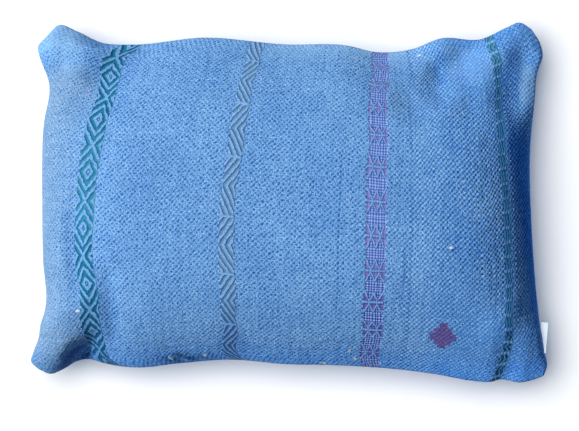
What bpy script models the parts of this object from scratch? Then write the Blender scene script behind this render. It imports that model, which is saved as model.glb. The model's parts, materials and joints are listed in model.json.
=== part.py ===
"""Rectangular scatter cushion in heavy handwoven cloth, with a plain sewn-in label.

The cushion lies on its back with its face up: +X is its length, +Y its height, +Z points
up out of the face.  All sizes are in metres.  The cover is two panels sewn together round
the edge and filled, so the part is one filled solid plus the folded label held in the
right-hand seam.
"""
import bmesh
import bpy
import math
from collections import namedtuple

# ---------------------------------------------------------------- driving dimensions
CROWN_RISE = 0.074           # how far the face swells above the seam
BACK_DROP = 0.078            # how far the back would hang below the seam if nothing held it up
BACK_SETTLE = 0.012          # softness of the bend where the back meets the surface
BACK_PRESS = 0.0006          # how deep the cloth is pressed flat along that bend
SEAM_BAND = 0.003            # thickness of the two panels' edges where they are sewn together
EDGE_REACH = 5               # larger keeps an edge's own waves closer to that edge
SIDE_CROWDING = 0.12         # how much closer the mesh lines stand near the seam
CROWDING_POWER = 6

COLUMNS = 60                 # mesh squares along the length of a panel
ROWS = 42                    # mesh squares across a panel
STEPS_PER_SPAN = 12          # points worked out between two points of an edge

LABEL_LENGTH = 0.034         # along the seam
LABEL_SHOWS_LOW = 0.0041     # how far its lower end stands out of the seam
LABEL_SHOWS_HIGH = 0.0070    # and its upper end
LABEL_THICKNESS = 0.0014     # a ribbon folded double
LABEL_CENTRE_Y = -0.150
LABEL_STEPS = 8
LABEL_BACK_FOLD = 0.0004     # roundness of the ribbon's outer fold
SEAM_GAP = 0.0003            # clearance between two sewn pieces

# ---------------------------------------------------------------- the sewn edge
# Each side of the seam is a smooth line through these points, from corner to corner.
# x and y are its plan and z its height above the surface.
SeamPoint = namedtuple("SeamPoint", "x y z")

UPPER_LEFT_CORNER = SeamPoint(-0.2690, 0.1850, 0.050)
UPPER_RIGHT_CORNER = SeamPoint(0.2680, 0.1930, 0.046)
LOWER_RIGHT_CORNER = SeamPoint(0.2820, -0.1925, 0.044)
LOWER_LEFT_CORNER = SeamPoint(-0.2790, -0.1845, 0.052)

UPPER_SIDE = [
    SeamPoint(-0.2570, 0.1970, 0.049),       # tip of the blunt upper left ear
    SeamPoint(-0.2360, 0.1900, 0.047),
    SeamPoint(-0.2090, 0.1775, 0.048),       # where the ear meets the body
    SeamPoint(-0.1770, 0.1750, 0.052),
    SeamPoint(-0.0940, 0.1825, 0.056),
    SeamPoint(-0.0050, 0.1750, 0.056),
    SeamPoint(0.0620, 0.1740, 0.055),
    SeamPoint(0.0980, 0.1665, 0.053),        # the pinch beside the upper swell
    SeamPoint(0.1350, 0.1700, 0.052),
    SeamPoint(0.1680, 0.1820, 0.054),
    SeamPoint(0.2110, 0.1810, 0.051),
    SeamPoint(0.2410, 0.1945, 0.047),
    SeamPoint(0.2550, 0.2000, 0.046),        # round upper right ear
]
RIGHT_SIDE = [
    SeamPoint(0.2780, 0.1770, 0.045),
    SeamPoint(0.2810, 0.1640, 0.045),
    SeamPoint(0.2750, 0.1450, 0.047),
    SeamPoint(0.2715, 0.1140, 0.051),
    SeamPoint(0.2660, 0.0580, 0.055),
    SeamPoint(0.2670, -0.0140, 0.056),
    SeamPoint(0.2710, -0.0770, 0.055),
    SeamPoint(0.2770, -0.1330, 0.051),
    SeamPoint(0.2835, -0.1680, 0.046),
    SeamPoint(0.2860, -0.1815, 0.044),
]
LOWER_SIDE = [                               # from left to right
    SeamPoint(-0.2660, -0.1900, 0.051),      # tip of the lower left ear
    SeamPoint(-0.2515, -0.1850, 0.046),
    SeamPoint(-0.2370, -0.1765, 0.041),
    SeamPoint(-0.2235, -0.1740, 0.040),      # the tuck below the deep fold
    SeamPoint(-0.2090, -0.1780, 0.043),
    SeamPoint(-0.1715, -0.1830, 0.050),
    SeamPoint(-0.1215, -0.1780, 0.054),
    SeamPoint(-0.0640, -0.1740, 0.056),
    SeamPoint(-0.0050, -0.1790, 0.056),
    SeamPoint(0.0450, -0.1800, 0.056),
    SeamPoint(0.1115, -0.1840, 0.055),
    SeamPoint(0.1600, -0.1900, 0.053),
    SeamPoint(0.2040, -0.1980, 0.049),
    SeamPoint(0.2240, -0.1990, 0.047),
    SeamPoint(0.2335, -0.1965, 0.045),       # small nick where a band runs into the seam
    SeamPoint(0.2560, -0.2000, 0.044),
    SeamPoint(0.2690, -0.1975, 0.043),       # lower right ear
]
LEFT_SIDE = [                                # from bottom to top
    SeamPoint(-0.2872, -0.1760, 0.052),
    SeamPoint(-0.2845, -0.1660, 0.052),
    SeamPoint(-0.2785, -0.1490, 0.051),
    SeamPoint(-0.2770, -0.1380, 0.051),
    SeamPoint(-0.2710, -0.1180, 0.052),
    SeamPoint(-0.2730, -0.0640, 0.055),
    SeamPoint(-0.2740, 0.0030, 0.056),
    SeamPoint(-0.2725, 0.0860, 0.055),
    SeamPoint(-0.2670, 0.1315, 0.051),       # waist below the upper left ear
    SeamPoint(-0.2780, 0.1630, 0.050),
    SeamPoint(-0.2800, 0.1720, 0.050),
]

# ---------------------------------------------------------------- the swell
# How each side of a panel rises to the middle: a larger fullness keeps the middle flat for
# longer, and a smaller roundness makes the side itself blunter and steeper.
Side = namedtuple("Side", "fullness roundness")
FACE_SIDES = {
    "left": Side(4.3, 0.45),
    "right": Side(3.8, 0.70),
    "lower": Side(2.7, 0.92),
    "upper": Side(2.7, 1.20),
}
BACK_SIDES = {
    "left": Side(3.0, 0.55),
    "right": Side(3.0, 0.55),
    "lower": Side(2.4, 0.55),
    "upper": Side(2.4, 0.55),
}

# ---------------------------------------------------------------- folds in the face
# A fold runs from (x1, y1) to (x2, y2).  depth is below the smooth crown, so a ridge has a
# negative depth; width is how far the slope on each side of it reaches.
Fold = namedtuple("Fold", "x1 y1 x2 y2 width depth")

FACE_FOLDS = [
    Fold(-0.271, 0.142, -0.255, 0.146, 0.010, 0.007),      # crease in the waist below the upper left ear
    Fold(-0.197, 0.178, -0.231, 0.145, 0.023, -0.017),     # rib from that ear down to the body
    Fold(-0.231, 0.183, -0.217, 0.174, 0.022, -0.008),     # ridge of that ear
    Fold(-0.190, 0.184, -0.224, 0.146, 0.032, 0.017),      # valley between the rib and the body
    Fold(0.135, 0.111, 0.155, 0.120, 0.022, 0.012),        # hollow below the upper swell
    Fold(0.165, 0.147, 0.200, 0.168, 0.012, 0.006),        # crease above the upper swell
    Fold(0.197, 0.112, 0.187, 0.140, 0.022, 0.010),        # hollow to the right of it
    Fold(0.257, 0.157, 0.242, 0.111, 0.024, 0.020),        # valley into the upper right ear
    Fold(0.251, 0.171, 0.280, 0.153, 0.024, -0.011),       # ridge of the upper right ear
    Fold(-0.224, -0.171, -0.240, -0.185, 0.013, 0.010),    # tuck under the lower left ear
    Fold(-0.254, -0.195, -0.231, -0.149, 0.018, -0.009),   # ridge of that ear
    Fold(-0.258, -0.130, -0.230, -0.115, 0.024, -0.009),   # swelling above it
    Fold(0.285, -0.158, 0.242, -0.140, 0.026, -0.010),     # ridge of the lower right ear
    Fold(0.249, -0.184, 0.247, -0.130, 0.010, 0.002),      # furrow beside the narrow band
    Fold(0.260, -0.134, 0.279, -0.111, 0.020, 0.005),      # hollow above that ear
]
BACK_FOLDS = [
    Fold(-0.226, -0.150, -0.246, -0.180, 0.013, 0.006),
    Fold(-0.220, 0.172, -0.236, 0.140, 0.014, 0.005),
    Fold(0.228, 0.178, 0.222, 0.142, 0.013, 0.005),
    Fold(0.240, -0.188, 0.222, -0.156, 0.014, 0.005),
]


# ---------------------------------------------------------------- the sewn edge, as curves
def smooth_line(points):
    """Points along a smooth curve through the given ones, with its running length."""
    count = len(points)
    line = [points[0]]
    for span in range(count - 1):
        before = points[max(span - 1, 0)]
        start = points[span]
        end = points[span + 1]
        after = points[min(span + 2, count - 1)]
        for step in range(1, STEPS_PER_SPAN + 1):
            line.append(hermite(before, start, end, after, step / STEPS_PER_SPAN))
    lengths = [0.0]
    for first, second in zip(line, line[1:]):
        lengths.append(lengths[-1] + math.dist(first, second))
    return line, lengths


def hermite(before, start, end, after, part):
    """The point a given part of the way from start to end, on a curve that also heeds their neighbours."""
    square = part * part
    cube = square * part
    back_length = max(math.dist(before, start), 1e-6)
    length = math.dist(start, end)
    next_length = max(math.dist(end, after), 1e-6)
    point = []
    for b, s, e, a in zip(before, start, end, after):
        leave = ((e - s) / length * back_length + (s - b) / back_length * length) / (length + back_length)
        arrive = ((a - e) / next_length * length + (e - s) / length * next_length) / (length + next_length)
        if before is start:
            leave = (e - s) / length
        if after is end:
            arrive = (e - s) / length
        point.append(
            (2 * cube - 3 * square + 1) * s
            + (cube - 2 * square + part) * leave * length
            + (3 * square - 2 * cube) * e
            + (cube - square) * arrive * length
        )
    return tuple(point)


def along(curve, part):
    """The point that lies a given part of the way along a curve, measured by length."""
    line, lengths = curve
    target = min(max(part, 0.0), 1.0) * lengths[-1]
    low = 0
    high = len(lengths) - 1
    while high - low > 1:
        middle = (low + high) // 2
        if lengths[middle] <= target:
            low = middle
        else:
            high = middle
    share = (target - lengths[low]) / (lengths[high] - lengths[low])
    return [a + (b - a) * share for a, b in zip(line[low], line[high])]


UPPER = smooth_line([UPPER_LEFT_CORNER, *UPPER_SIDE, UPPER_RIGHT_CORNER])
LOWER = smooth_line([LOWER_LEFT_CORNER, *LOWER_SIDE, LOWER_RIGHT_CORNER])
LEFT = smooth_line([LOWER_LEFT_CORNER, *LEFT_SIDE, UPPER_LEFT_CORNER])
RIGHT = smooth_line([LOWER_RIGHT_CORNER, *reversed(RIGHT_SIDE), UPPER_RIGHT_CORNER])


def seam_sheet(across, up):
    """Plan position and seam height at parts across and up the panel, each from 0 to 1.

    The straight-sided panel between the corners is bent by each edge, most at that edge.
    """
    corners = (
        (LOWER_LEFT_CORNER, (1 - across) * (1 - up)),
        (LOWER_RIGHT_CORNER, across * (1 - up)),
        (UPPER_LEFT_CORNER, (1 - across) * up),
        (UPPER_RIGHT_CORNER, across * up),
    )
    edges = (
        (UPPER, across, UPPER_LEFT_CORNER, UPPER_RIGHT_CORNER, up),
        (LOWER, across, LOWER_LEFT_CORNER, LOWER_RIGHT_CORNER, 1 - up),
        (LEFT, up, LOWER_LEFT_CORNER, UPPER_LEFT_CORNER, 1 - across),
        (RIGHT, up, LOWER_RIGHT_CORNER, UPPER_RIGHT_CORNER, across),
    )
    place = [sum(corner[axis] * weight for corner, weight in corners) for axis in range(3)]
    for curve, part, first, last, nearness in edges:
        on_edge = along(curve, part)
        weight = nearness ** EDGE_REACH
        for axis in range(3):
            straight = first[axis] + (last[axis] - first[axis]) * part
            place[axis] += (on_edge[axis] - straight) * weight
    return place


# ---------------------------------------------------------------- the swell of each panel
def swell(sides, across, up):
    """How full a panel is there: 0 along the seam and 1 at the middle."""
    long_side = sides["left"] if across < 0.5 else sides["right"]
    short_side = sides["lower"] if up < 0.5 else sides["upper"]
    long_way = max(1 - abs(2 * across - 1) ** long_side.fullness, 0.0) ** long_side.roundness
    short_way = max(1 - abs(2 * up - 1) ** short_side.fullness, 0.0) ** short_side.roundness
    return long_way * short_way


def fold_depth(folds, x, y):
    """Depth of all the folds of one panel at a place, fading out along and beside each fold."""
    depth = 0.0
    for fold in folds:
        run_x = fold.x2 - fold.x1
        run_y = fold.y2 - fold.y1
        run = math.hypot(run_x, run_y)
        ahead = ((x - fold.x1) * run_x + (y - fold.y1) * run_y) / run
        aside = ((x - fold.x1) * run_y - (y - fold.y1) * run_x) / run
        past_end = max(-ahead, ahead - run, 0.0)
        depth += fold.depth * math.exp(-(aside ** 2 + past_end ** 2) / fold.width ** 2)
    return depth


def face_point(across, up):
    """A point of the face, which stands up from the seam."""
    x, y, seam = seam_sheet(across, up)
    rise = CROWN_RISE * swell(FACE_SIDES, across, up)
    held = rise / (rise + SEAM_BAND)
    depth = min(fold_depth(FACE_FOLDS, x, y) * held, 0.8 * rise)
    return (x, y, seam + SEAM_BAND / 2 + rise - depth)


def back_point(across, up):
    """A point of the back, flat where the cushion's weight presses it on the surface."""
    x, y, seam = seam_sheet(across, up)
    drop = BACK_DROP * swell(BACK_SIDES, across, up)
    held = drop / (drop + SEAM_BAND)
    depth = min(fold_depth(BACK_FOLDS, x, y) * held, 0.8 * drop)
    height = max(seam - SEAM_BAND / 2 - drop + depth, 0.0)
    lift_share = min(drop / BACK_SETTLE, 1.0)
    settled = max(height * height / (height + BACK_SETTLE) - BACK_PRESS, 0.0)
    return (x, y, height + (settled - height) * lift_share)


def crowded(part):
    """Spreads mesh lines from 0 to 1 so that they stand closer towards both ends."""
    centred = 2 * part - 1
    spread = centred * (1 + SIDE_CROWDING * (1 - abs(centred) ** CROWDING_POWER))
    return (spread + 1) / 2


# ---------------------------------------------------------------- meshes
def plain_material(name, colour, roughness):
    material = bpy.data.materials.new(name)
    material.use_nodes = True
    shader = material.node_tree.nodes["Principled BSDF"]
    shader.inputs["Base Color"].default_value = (*colour, 1.0)
    shader.inputs["Roughness"].default_value = roughness
    shader.inputs["Metallic"].default_value = 0.0
    material.diffuse_color = (*colour, 1.0)
    return material


def make_object(name, shape, material):
    """Turns a finished bmesh into a named object, its patches cut into triangles."""
    bmesh.ops.triangulate(shape, faces=shape.faces[:], quad_method="SHORT_EDGE", ngon_method="BEAUTY")
    mesh = bpy.data.meshes.new(name)
    shape.to_mesh(mesh)
    shape.free()
    mesh.materials.append(material)
    thing = bpy.data.objects.new(name, mesh)
    bpy.context.scene.collection.objects.link(thing)
    return thing


def add_panel(shape, panel_point):
    """A square grid of cloth, each point then moved to its place on the filled cushion."""
    panel = bmesh.ops.create_grid(shape, x_segments=COLUMNS, y_segments=ROWS, size=0.5)
    for vertex in panel["verts"]:
        across = crowded(vertex.co.x + 0.5)
        up = crowded(vertex.co.y + 0.5)
        vertex.co = panel_point(across, up)
    return panel["verts"]


def make_cushion():
    """Face and back panels, joined all round by the narrow band of their sewn edges."""
    shape = bmesh.new()
    add_panel(shape, face_point)
    back = set(add_panel(shape, back_point))
    back_faces = [face for face in shape.faces if face.verts[0] in back]
    bmesh.ops.reverse_faces(shape, faces=back_faces)
    open_edges = [edge for edge in shape.edges if edge.is_boundary]
    bmesh.ops.bridge_loops(shape, edges=open_edges)
    bmesh.ops.recalc_face_normals(shape, faces=shape.faces[:])
    blue_cloth = plain_material("blue_cloth", (0.13, 0.30, 0.62), 0.9)
    return make_object("cushion", shape, blue_cloth)


def part_along_right(y):
    """How far along the right side the seam passes a given y."""
    low = 0.0
    high = 1.0
    for _ in range(40):
        middle = (low + high) / 2
        if along(RIGHT, middle)[1] < y:
            low = middle
        else:
            high = middle
    return low


def make_label():
    """A ribbon folded double, its cut ends in the right-hand seam and its fold outwards."""
    half = LABEL_THICKNESS / 2
    section = [                              # back from the outer fold or out of the seam, height
        ("seam", SEAM_GAP, half),
        ("seam", SEAM_GAP, -half),
        ("fold", -LABEL_BACK_FOLD, -half),
        ("fold", 0.0, -half + LABEL_BACK_FOLD),
        ("fold", 0.0, half - LABEL_BACK_FOLD),
        ("fold", -LABEL_BACK_FOLD, half),
    ]
    low = LABEL_CENTRE_Y - LABEL_LENGTH / 2
    shape = bmesh.new()
    ring = [shape.verts.new((0.0, 0.0, 0.0)) for _ in section]
    edges = [shape.edges.new(pair) for pair in zip(ring, ring[1:] + ring[:1])]
    for step in range(LABEL_STEPS + 1):
        if step > 0:
            grown = bmesh.ops.extrude_edge_only(shape, edges=edges)["geom"]
            ring = [item for item in grown if isinstance(item, bmesh.types.BMVert)]
            edges = [item for item in grown if isinstance(item, bmesh.types.BMEdge)]
        part = step / LABEL_STEPS
        y = low + LABEL_LENGTH * part
        x, _, z = along(RIGHT, part_along_right(y))
        shows = LABEL_SHOWS_LOW + (LABEL_SHOWS_HIGH - LABEL_SHOWS_LOW) * part
        for vertex, (edge, reach, height) in zip(ring, section):
            start = shows if edge == "fold" else 0.0
            vertex.co = (x + start + reach, y, z + height)
    bmesh.ops.holes_fill(shape, edges=shape.edges[:])
    bmesh.ops.recalc_face_normals(shape, faces=shape.faces[:])
    white_ribbon = plain_material("white_ribbon", (0.80, 0.83, 0.86), 0.6)
    return make_object("label", shape, white_ribbon)


def main():
    for thing in list(bpy.data.objects):
        bpy.data.objects.remove(thing, do_unlink=True)
    make_cushion()
    make_label()


main()
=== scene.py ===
"""Looks of a plump oblong cushion in coarse blue handwoven cloth with brocaded bands.

The cover is worked out thread by thread: one mesh point for each crossing of the two sets
of yarns on the face, so that the weave stands up in the mesh, and a cloth coordinate in
threads on every point, which the bands and the yarn colours follow over every swell.
"""
import bmesh
import bpy
import json
import math
import numpy as np
from collections import namedtuple
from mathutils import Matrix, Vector

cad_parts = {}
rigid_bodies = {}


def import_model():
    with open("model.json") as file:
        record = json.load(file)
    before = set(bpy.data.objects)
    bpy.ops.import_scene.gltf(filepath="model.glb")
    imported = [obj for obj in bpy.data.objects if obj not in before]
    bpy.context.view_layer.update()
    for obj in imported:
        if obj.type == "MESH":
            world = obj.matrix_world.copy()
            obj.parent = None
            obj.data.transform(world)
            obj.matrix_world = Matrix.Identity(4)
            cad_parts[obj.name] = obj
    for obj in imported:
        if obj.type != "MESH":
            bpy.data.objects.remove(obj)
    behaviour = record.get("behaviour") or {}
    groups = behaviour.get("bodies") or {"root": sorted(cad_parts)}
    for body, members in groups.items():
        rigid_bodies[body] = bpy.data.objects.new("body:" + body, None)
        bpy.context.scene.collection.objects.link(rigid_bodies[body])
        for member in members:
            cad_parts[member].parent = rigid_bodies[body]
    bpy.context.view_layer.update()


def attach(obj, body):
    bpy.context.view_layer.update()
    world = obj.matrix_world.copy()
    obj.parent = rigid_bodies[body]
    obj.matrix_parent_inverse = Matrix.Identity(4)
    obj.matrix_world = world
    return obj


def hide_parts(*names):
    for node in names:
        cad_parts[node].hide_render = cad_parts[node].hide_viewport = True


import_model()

for thing in bpy.data.objects:
    thing.select_set(False)

# ------------------------ sizes, in metres
SEAM_HEIGHT_BAND = 0.003  # thickness of the two panels' edges where they are sewn together
CROWN_RISE = 0.074  # from the seam to the top of the face
BACK_DROP = 0.078  # from the seam to the back, before it settles
BACK_SETTLE = 0.012  # height over which the back rounds into its flat part
BACK_PRESS = 0.0006  # how far the weight presses it flat
FOLD_LIMIT = 0.8  # the deepest fold, as a part of the panel's rise there
SEAM_TUCK = 0.0020  # how far the seam line lies in between the two panels
EDGE_REACH = 5  # larger: the seam's own curves fade sooner towards the middle
STEPS_PER_SPAN = 12  # points worked out between two named points of the seam

# ------------------------ the weave, in yarns or as parts of 1
THREADS_LONG = 214  # crossings along the length of the face
THREADS_HIGH = 141  # crossings across its height
RELIEF = 0.0016  # metres from a yarn's top to the pit beside it
EDGE_FREEDOM = 3  # yarns from the seam before they stand and wander freely
WANDER = 0.13  # how far a yarn wanders sideways
WANDER_REACH = 12  # yarns over which it wanders
FULLNESS = 0.16  # how much yarns differ in thickness
LOOSENESS = 0.24  # how much single crossings differ in height
THICKNESS_SHARE = 0.25  # how much of the relief follows the yarns' thickness
CROWN_OPENING = 0.13  # how much wider apart the yarns are pushed over the crown
CROWN_WIDTH = 0.55  # how far that reaches, as a part of the half panel
BAND_MARGIN = 0.8  # yarns beside a band that already lie flat
BAND_FLATNESS = 0.65  # how much of the relief the brocading yarns hide
FADED_FLATNESS = 0.40  # and how much wear has taken at the left,
LOWER_CALM = 0.35  # at the lower right
UPPER_CALM = 0.40  # and at the upper right
TWILL = 0.14  # height of the slanting ridges, as a part of the relief
SOLE_HEIGHT = 0.004  # metres of the back above the surface that stay smooth

# ------------------------ the sewn edge
SeamPoint = namedtuple("SeamPoint", "x y z")

UPPER_LEFT_CORNER = SeamPoint(-0.2690, 0.1850, 0.050)
UPPER_RIGHT_CORNER = SeamPoint(0.2680, 0.1930, 0.046)
LOWER_RIGHT_CORNER = SeamPoint(0.2820, -0.1925, 0.044)
LOWER_LEFT_CORNER = SeamPoint(-0.2790, -0.1845, 0.052)

UPPER_SIDE = [SeamPoint(*place) for place in (
    (-0.257, 0.197, 0.049),  # tip of the blunt upper left ear
    (-0.236, 0.19, 0.047),
    (-0.209, 0.1775, 0.048),  # where the ear meets the body
    (-0.177, 0.175, 0.052),
    (-0.094, 0.1825, 0.056),
    (-0.005, 0.175, 0.056),
    (0.062, 0.174, 0.055),
    (0.098, 0.1665, 0.053),  # the pinch beside the upper swell
    (0.135, 0.17, 0.052),
    (0.168, 0.182, 0.054),
    (0.211, 0.181, 0.051),
    (0.241, 0.1945, 0.047),
    (0.255, 0.2, 0.046),  # round upper right ear
)]
RIGHT_SIDE = [SeamPoint(*place) for place in (
    (0.278, 0.177, 0.045),
    (0.281, 0.164, 0.045),
    (0.275, 0.145, 0.047),
    (0.2715, 0.114, 0.051),
    (0.266, 0.058, 0.055),
    (0.267, -0.014, 0.056),
    (0.271, -0.077, 0.055),
    (0.277, -0.133, 0.051),
    (0.2835, -0.168, 0.046),
    (0.286, -0.1815, 0.044),
)]
LOWER_SIDE = [SeamPoint(*place) for place in (    # from left to right
    (-0.266, -0.19, 0.051),  # tip of the lower left ear
    (-0.2515, -0.185, 0.046),
    (-0.237, -0.1765, 0.041),
    (-0.2235, -0.174, 0.04),  # the tuck below the deep fold
    (-0.209, -0.178, 0.043),
    (-0.1715, -0.183, 0.05),
    (-0.1215, -0.178, 0.054),
    (-0.064, -0.174, 0.056),
    (-0.005, -0.179, 0.056),
    (0.045, -0.18, 0.056),
    (0.1115, -0.184, 0.055),
    (0.16, -0.19, 0.053),
    (0.204, -0.198, 0.049),
    (0.224, -0.199, 0.047),
    (0.2335, -0.1965, 0.045),  # small nick where a band runs into the seam
    (0.256, -0.2, 0.044),
    (0.269, -0.1975, 0.043),  # lower right ear
)]
LEFT_SIDE = [SeamPoint(*place) for place in (    # from bottom to top
    (-0.2872, -0.176, 0.052),
    (-0.2845, -0.166, 0.052),
    (-0.2785, -0.149, 0.051),
    (-0.277, -0.138, 0.051),
    (-0.271, -0.118, 0.052),
    (-0.273, -0.064, 0.055),
    (-0.274, 0.003, 0.056),
    (-0.2725, 0.086, 0.055),
    (-0.267, 0.1315, 0.051),  # waist below the upper left ear
    (-0.278, 0.163, 0.05),
    (-0.28, 0.172, 0.05),
)]

# How each side of a panel rises to the middle: a larger fullness keeps the middle flat for
# longer, and a smaller roundness makes the side itself blunter and steeper.
Side = namedtuple("Side", "fullness roundness")
FACE_SIDES = {
    "left": Side(4.3, 0.45),
    "right": Side(3.8, 0.70),
    "lower": Side(2.7, 0.92),
    "upper": Side(2.7, 1.20),
}
BACK_SIDES = {
    "left": Side(3.0, 0.55),
    "right": Side(3.0, 0.55),
    "lower": Side(2.4, 0.55),
    "upper": Side(2.4, 0.55),
}

Fold = namedtuple("Fold", "x1 y1 x2 y2 width depth")  # a ridge has a depth below zero

# Shared with the CAD solid. The first four lie at the upper left ear.
FACE_FOLDS = [
    Fold(-0.271, 0.142, -0.255, 0.146, 0.010, 0.007),  # crease in the waist below that ear
    Fold(-0.197, 0.178, -0.231, 0.145, 0.023, -0.017),  # rib from that ear down to the body
    Fold(-0.231, 0.183, -0.217, 0.174, 0.022, -0.008),  # its ridge
    Fold(-0.190, 0.184, -0.224, 0.146, 0.032, 0.017),  # valley between the rib and the body
    Fold(0.135, 0.111, 0.155, 0.120, 0.022, 0.012),  # hollow below the upper swell
    Fold(0.165, 0.147, 0.200, 0.168, 0.012, 0.006),  # crease above the upper swell
    Fold(0.197, 0.112, 0.187, 0.140, 0.022, 0.010),  # hollow to the right of it
    Fold(0.257, 0.157, 0.242, 0.111, 0.024, 0.020),  # valley into the upper right ear
    Fold(0.251, 0.171, 0.280, 0.153, 0.024, -0.011),  # ridge of the upper right ear
    Fold(-0.224, -0.171, -0.240, -0.185, 0.013, 0.010),  # tuck under the lower left ear
    Fold(-0.254, -0.195, -0.231, -0.149, 0.018, -0.009),  # ridge of that ear
    Fold(-0.258, -0.130, -0.230, -0.115, 0.024, -0.009),  # swelling above it
    Fold(0.285, -0.158, 0.242, -0.140, 0.026, -0.010),  # ridge of the lower right ear
    Fold(0.249, -0.184, 0.247, -0.130, 0.010, 0.002),  # furrow beside the narrow band
    Fold(0.260, -0.134, 0.279, -0.111, 0.020, 0.005),  # hollow above that ear
]
FACE_CREASES = [  # shallow ones, in the cover alone
    Fold(-0.235, 0.003, -0.235, -0.095, 0.010, 0.0022),  # along the left edge of the teal band
    Fold(-0.197, -0.080, -0.193, -0.147, 0.009, 0.0022),  # and along its right edge lower down
    Fold(0.160, 0.152, 0.168, 0.118, 0.014, 0.0030),  # dips in the side of the upper swell
    Fold(0.185, 0.172, 0.190, 0.158, 0.012, 0.0030),
    Fold(-0.218, -0.153, -0.238, -0.172, 0.010, 0.0070),  # the tuck runs on up into the face
    Fold(-0.252, -0.172, -0.248, -0.160, 0.014, -0.0040),  # fuller ear to the left of it
    Fold(0.128, 0.104, 0.138, 0.114, 0.020, -0.0040),  # gentler left side of the upper hollow
    Fold(0.238, 0.165, 0.250, 0.140, 0.018, -0.0045),  # and of the valley into the ear
    Fold(0.246, 0.135, 0.238, 0.095, 0.018, -0.0040),
]
BACK_FOLDS = [
    Fold(-0.226, -0.150, -0.246, -0.180, 0.013, 0.006),
    Fold(-0.220, 0.172, -0.236, 0.140, 0.014, 0.005),
    Fold(0.228, 0.178, 0.222, 0.142, 0.013, 0.005),
    Fold(0.240, -0.188, 0.222, -0.156, 0.014, 0.005),
]


# ------------------------ the filled form
def smooth_line(points):
    """A dense smooth line through the given points, with its running length as parts of 1."""
    count = len(points)
    line = [points[0]]
    for span in range(count - 1):
        before = points[max(span - 1, 0)]
        start = points[span]
        end = points[span + 1]
        after = points[min(span + 2, count - 1)]
        for step in range(1, STEPS_PER_SPAN + 1):
            line.append(hermite(before, start, end, after, step / STEPS_PER_SPAN))
    line = np.array(line)
    steps = np.linalg.norm(np.diff(line, axis=0), axis=1)
    running = np.concatenate([[0.0], np.cumsum(steps)])
    return line, running / running[-1]


def hermite(before, start, end, after, part):
    """The point part of the way from start to end, on a curve that also heeds their neighbours."""
    square = part * part
    cube = square * part
    back_length = max(math.dist(before, start), 1e-6)
    length = math.dist(start, end)
    next_length = max(math.dist(end, after), 1e-6)
    point = []
    for b, s, e, a in zip(before, start, end, after):
        slope = (e - s) / length
        leave = (slope * back_length + (s - b) / back_length * length) / (length + back_length)
        arrive = ((a - e) / next_length * length + slope * next_length) / (length + next_length)
        if before is start:
            leave = slope
        if after is end:
            arrive = slope
        point.append(
            (2 * cube - 3 * square + 1) * s
            + (cube - 2 * square + part) * leave * length
            + (3 * square - 2 * cube) * e
            + (cube - square) * arrive * length
        )
    return tuple(point)


UPPER = smooth_line([UPPER_LEFT_CORNER, *UPPER_SIDE, UPPER_RIGHT_CORNER])
LOWER = smooth_line([LOWER_LEFT_CORNER, *LOWER_SIDE, LOWER_RIGHT_CORNER])
LEFT = smooth_line([LOWER_LEFT_CORNER, *LEFT_SIDE, UPPER_LEFT_CORNER])
RIGHT = smooth_line([LOWER_RIGHT_CORNER, *reversed(RIGHT_SIDE), UPPER_RIGHT_CORNER])


def along(curve, part):
    """Points at the given parts of a curve's length."""
    line, running = curve
    return np.stack([np.interp(part, running, line[:, axis]) for axis in range(3)], axis=-1)


def seam_sheet(across, up):
    """Plan position and seam height at parts across and up the panel, each from 0 to 1."""
    corner = {
        "lower_left": np.array(LOWER_LEFT_CORNER),
        "lower_right": np.array(LOWER_RIGHT_CORNER),
        "upper_left": np.array(UPPER_LEFT_CORNER),
        "upper_right": np.array(UPPER_RIGHT_CORNER),
    }
    a = across[..., None]
    u = up[..., None]
    place = (
        corner["lower_left"] * (1 - a) * (1 - u)
        + corner["lower_right"] * a * (1 - u)
        + corner["upper_left"] * (1 - a) * u
        + corner["upper_right"] * a * u
    )
    edges = (
        (UPPER, a, "upper_left", "upper_right", u),
        (LOWER, a, "lower_left", "lower_right", 1 - u),
        (LEFT, u, "lower_left", "upper_left", 1 - a),
        (RIGHT, u, "lower_right", "upper_right", a),
    )
    for curve, part, first, last, nearness in edges:
        straight = corner[first] + (corner[last] - corner[first]) * part
        place = place + (along(curve, part[..., 0]) - straight) * nearness ** EDGE_REACH
    return place


def swell(sides, across, up):
    """How full a panel is there: 0 along the seam and 1 at the middle."""
    sideways = np.abs(2 * across - 1)
    upward = np.abs(2 * up - 1)

    def rise(name, distance):
        side = sides[name]
        return np.clip(1 - distance ** side.fullness, 0, 1) ** side.roundness

    sideways_rise = np.where(across < 0.5, rise("left", sideways), rise("right", sideways))
    upward_rise = np.where(up < 0.5, rise("lower", upward), rise("upper", upward))
    return sideways_rise * upward_rise


def fold_depth(folds, x, y):
    """Depth of all the folds of one panel at a place, fading out along and beside each fold."""
    depth = np.zeros_like(x)
    for fold in folds:
        run_x = fold.x2 - fold.x1
        run_y = fold.y2 - fold.y1
        run = math.hypot(run_x, run_y)
        ahead = ((x - fold.x1) * run_x + (y - fold.y1) * run_y) / run
        aside = ((x - fold.x1) * run_y - (y - fold.y1) * run_x) / run
        past_end = np.maximum(np.maximum(-ahead, ahead - run), 0)
        depth += fold.depth * np.exp(-(aside ** 2 + past_end ** 2) / fold.width ** 2)
    return depth


def face_points(across, up):
    """Points of the face, which stands up from the seam."""
    place = seam_sheet(across, up)
    rise = CROWN_RISE * swell(FACE_SIDES, across, up)
    held = rise / (rise + SEAM_HEIGHT_BAND)
    depth = fold_depth(FACE_FOLDS + FACE_CREASES, place[..., 0], place[..., 1]) * held
    depth = np.minimum(depth, FOLD_LIMIT * rise)
    place[..., 2] += SEAM_HEIGHT_BAND / 2 + rise - depth
    return place


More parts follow.
